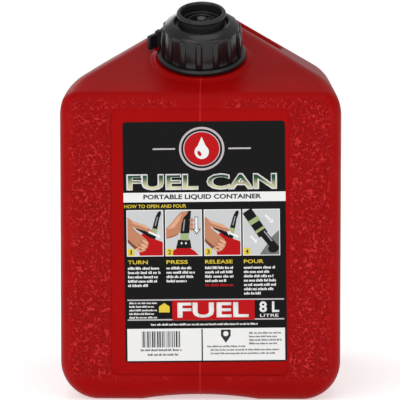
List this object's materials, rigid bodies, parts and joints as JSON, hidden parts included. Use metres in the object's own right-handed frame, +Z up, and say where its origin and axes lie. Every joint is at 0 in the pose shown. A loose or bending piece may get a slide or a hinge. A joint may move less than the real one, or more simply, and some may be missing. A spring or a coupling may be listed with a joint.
{
  "type": "jerry can",
  "caption": "Portable plastic fuel can with gable top, moulded handle, leaning screw neck, ribbed collar and a stowed sprung pour spout.",
  "frame": {"origin": "on the floor under the centre of the can", "axes": "+Z up; -Y faces the labelled front; +X across the can to a viewer's right when facing the label"},
  "size_m": [0.182, 0.2256, 0.258],
  "materials": {
    "red_polyethylene": "moulded, pebble grain on the front",
    "label_film": "printed gloss film",
    "black_plastic": "satin moulded",
    "green_plastic": "satin moulded",
    "vent_tubing": "natural translucent",
    "seal_rubber": "fuel-proof rubber",
    "steel": "zinc plated"
  },
  "bodies": {
    "can": {"can_shell": "red_polyethylene", "front_label": "label_film", "lever_pin": "steel"},
    "spout": {"spout_base": "black_plastic", "flange_gasket": "seal_rubber", "stem_guide": "black_plastic", "spout_tube": "black_plastic", "tube_seal": "seal_rubber", "vent_tube": "vent_tubing", "valve_stem": "steel", "stem_nut": "steel", "valve_disc": "black_plastic", "valve_seal": "seal_rubber", "ring_clip": "steel", "return_spring": "steel"},
    "collar_nut": {"collar": "black_plastic"},
    "tip_lock": {"lock_ring": "green_plastic"},
    "sleeve": {"nozzle_sleeve": "black_plastic"},
    "lever": {"lock_lever": "black_plastic", "lever_spring": "steel"}
  },
  "joints": [
    {"name": "spout_lift", "type": "slide", "parent": "can", "child": "spout", "axis": [0, -0.4226, 0.9063], "range_m": [0, 0.0125]},
    {"name": "collar_turn", "type": "hinge", "parent": "spout", "child": "collar_nut", "pos_m": [0, -0.0645, 0.21998], "axis": [0, -0.4226, 0.9063], "range_deg": [0, 900]},
    {"name": "lock_ring_turn", "type": "hinge", "parent": "spout", "child": "tip_lock", "pos_m": [0, -0.0645, 0.21998], "axis": [0, -0.4226, 0.9063], "range_deg": [0, 90]},
    {"name": "sleeve_slide", "type": "slide", "parent": "spout", "child": "sleeve", "axis": [0, -0.4226, 0.9063], "range_m": [0, 0.015], "stiffness_N_per_m": 400, "springref_m": -0.012, "deforming": ["return_spring"]},
    {"name": "lever_turn", "type": "hinge", "parent": "can", "child": "lever", "pos_m": [-0.02858, -0.04955, 0.22696], "axis": [0, -0.4226, 0.9063], "range_deg": [0, 12], "stiffness_Nm_per_rad": 0.05, "springref_deg": -22.92}
  ],
  "couplings": [
    {"joint": "collar_turn", "follows": "spout_lift", "rad_per_m": 1256.6}
  ]
}
